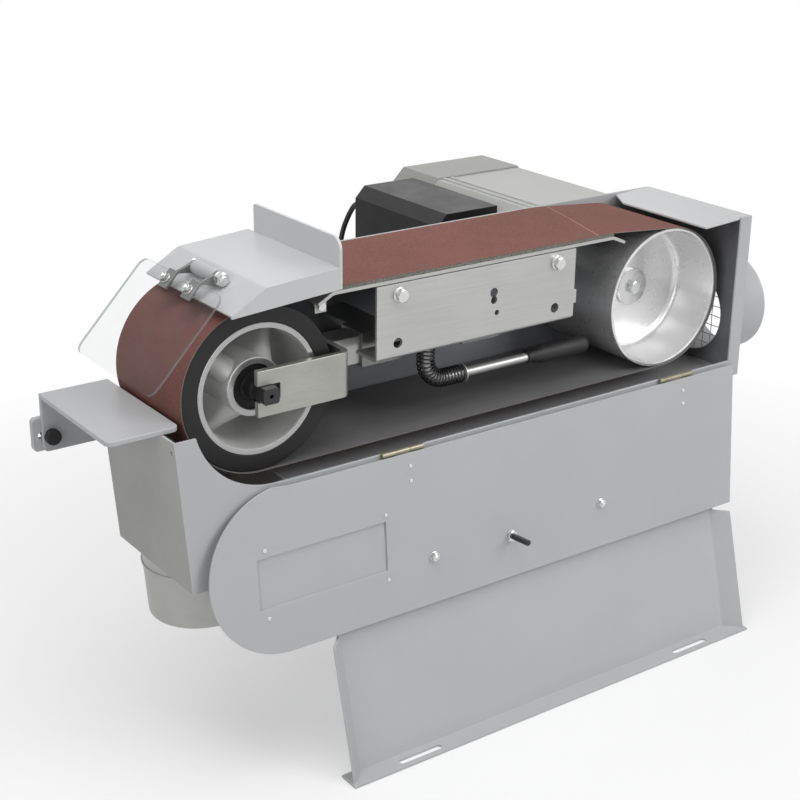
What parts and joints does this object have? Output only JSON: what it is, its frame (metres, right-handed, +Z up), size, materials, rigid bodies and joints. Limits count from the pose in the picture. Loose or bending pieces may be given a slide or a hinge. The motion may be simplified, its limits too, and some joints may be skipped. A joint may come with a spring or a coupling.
{
  "type": "bench belt sander",
  "caption": "Bench belt sander: a wide abrasive belt over a rubber contact wheel and a motor drum, with platen, swing guard, side door, table and sheet steel base.",
  "frame": {"origin": "midway between the two front foot slots, on the face that rests on the bench", "axes": "+X from the contact wheel to the motor drum, +Y from the front to the motor at the back, +Z up"},
  "size_m": [1.043, 0.6247, 0.662],
  "materials": {
    "paint": "satin",
    "paint_light": "satin",
    "galvanised": "satin",
    "zinc": "satin",
    "bright_fastener": "polished",
    "dark_steel": "satin",
    "shaft": "satin",
    "cast_aluminium": "satin",
    "tyre_rubber": "matte",
    "grip_rubber": "matte",
    "abrasive": "matte",
    "graphite": "matte",
    "motor_paint": "satin",
    "iron": "matte",
    "black_plastic": "matte",
    "clear_screen": "clear",
    "green_button": "glossy",
    "red_button": "glossy"
  },
  "bodies": {
    "frame": {"base_panel": "paint", "base_column": "paint", "base_top_plate": "paint", "back_plate": "paint", "housing_front": "paint", "housing_tray": "paint", "right_wall": "paint", "top_end_cover": "paint_light", "dust_chute": "paint", "chute_spigot": "galvanised", "outlet_spigot": "paint", "outlet_mesh": "galvanised", "wheel_cover": "paint_light", "fence": "paint", "guard_tube": "paint", "guard_pivot_bolt": "bright_fastener", "door_hinges": "zinc", "slide_guide": "zinc", "platen_bracket": "zinc", "bracket_bolts": "bright_fastener", "platen": "zinc", "platen_pad": "graphite", "belt": "abrasive", "motor_stator": "iron", "motor_flange": "motor_paint", "motor_housing": "motor_paint", "fan_cowl": "motor_paint", "terminal_box": "black_plastic", "switch_plate": "black_plastic", "cable_glands": "black_plastic", "motor_lead": "grip_rubber", "table_arm": "paint"},
    "wheel": {"wheel_core": "cast_aluminium", "wheel_tyre": "tyre_rubber", "wheel_bearings": "dark_steel"},
    "tension": {"fork": "zinc", "tension_slide": "zinc", "wheel_axle": "dark_steel"},
    "lever": {"tension_lever": "zinc", "lever_spring": "dark_steel", "lever_grip": "grip_rubber"},
    "drum": {"drive_drum": "cast_aluminium", "drum_bolt": "bright_fastener", "motor_shaft": "shaft", "motor_rotor": "iron", "motor_fan": "black_plastic"},
    "guard": {"guard_links": "paint", "guard_screen": "clear_screen", "guard_screws": "bright_fastener"},
    "door": {"side_door": "paint", "door_window": "paint", "door_leaves": "zinc", "door_rivets": "bright_fastener", "door_pull": "paint", "door_nuts": "bright_fastener"},
    "latch": {"door_latch": "dark_steel"},
    "table": {"work_table": "paint"},
    "clamp_knob": {"table_knob": "black_plastic"},
    "start": {"start_button": "green_button"},
    "stop": {"stop_button": "red_button"}
  },
  "joints": [
    {"name": "drum_spin", "type": "hinge", "parent": "frame", "child": "drum", "pos_m": [0.2475, 0.19, 0.487], "axis": [0, 1, 0], "continuous": true},
    {"name": "tension_slide", "type": "slide", "parent": "frame", "child": "tension", "axis": [1, 0, 0], "range_m": [0, 0.012]},
    {"name": "wheel_spin", "type": "hinge", "parent": "tension", "child": "wheel", "pos_m": [-0.3925, 0.19, 0.49], "axis": [0, 1, 0], "continuous": true},
    {"name": "lever_turn", "type": "hinge", "parent": "frame", "child": "lever", "pos_m": [-0.1345, 0.14, 0.45], "axis": [0, 0, -1], "range_deg": [0, 70]},
    {"name": "guard_swing", "type": "hinge", "parent": "frame", "child": "guard", "pos_m": [-0.42061, 0.17, 0.61798], "axis": [0, 1, 0], "range_deg": [0, 100]},
    {"name": "door_hinge", "type": "hinge", "parent": "frame", "child": "door", "pos_m": [-0.07, 0.0728, 0.3855], "axis": [1, 0, 0], "range_deg": [-175, 0]},
    {"name": "latch_turn", "type": "hinge", "parent": "door", "child": "latch", "pos_m": [-0.0545, 0.05951, 0.23358], "axis": [0, -0.9962, 0.0872], "range_deg": [0, 90]},
    {"name": "table_slide", "type": "slide", "parent": "frame", "child": "table", "axis": [-1, 0, 0], "range_m": [0, 0.01]},
    {"name": "clamp_turn", "type": "hinge", "parent": "table", "child": "clamp_knob", "pos_m": [-0.5755, 0.282, 0.417], "axis": [0, 1, 0], "range_deg": [0, 270]},
    {"name": "start_press", "type": "slide", "parent": "frame", "child": "start", "axis": [1, 0, 0], "range_m": [0, 0.003], "stiffness_N_per_m": 200},
    {"name": "stop_press", "type": "slide", "parent": "frame", "child": "stop", "axis": [1, 0, 0], "range_m": [0, 0.003], "stiffness_N_per_m": 200}
  ],
  "couplings": [
    {"joint": "wheel_spin", "follows": "drum_spin", "ratio": 0.97},
    {"joint": "lever_turn", "follows": "tension_slide", "rad_per_m": 101.8}
  ]
}
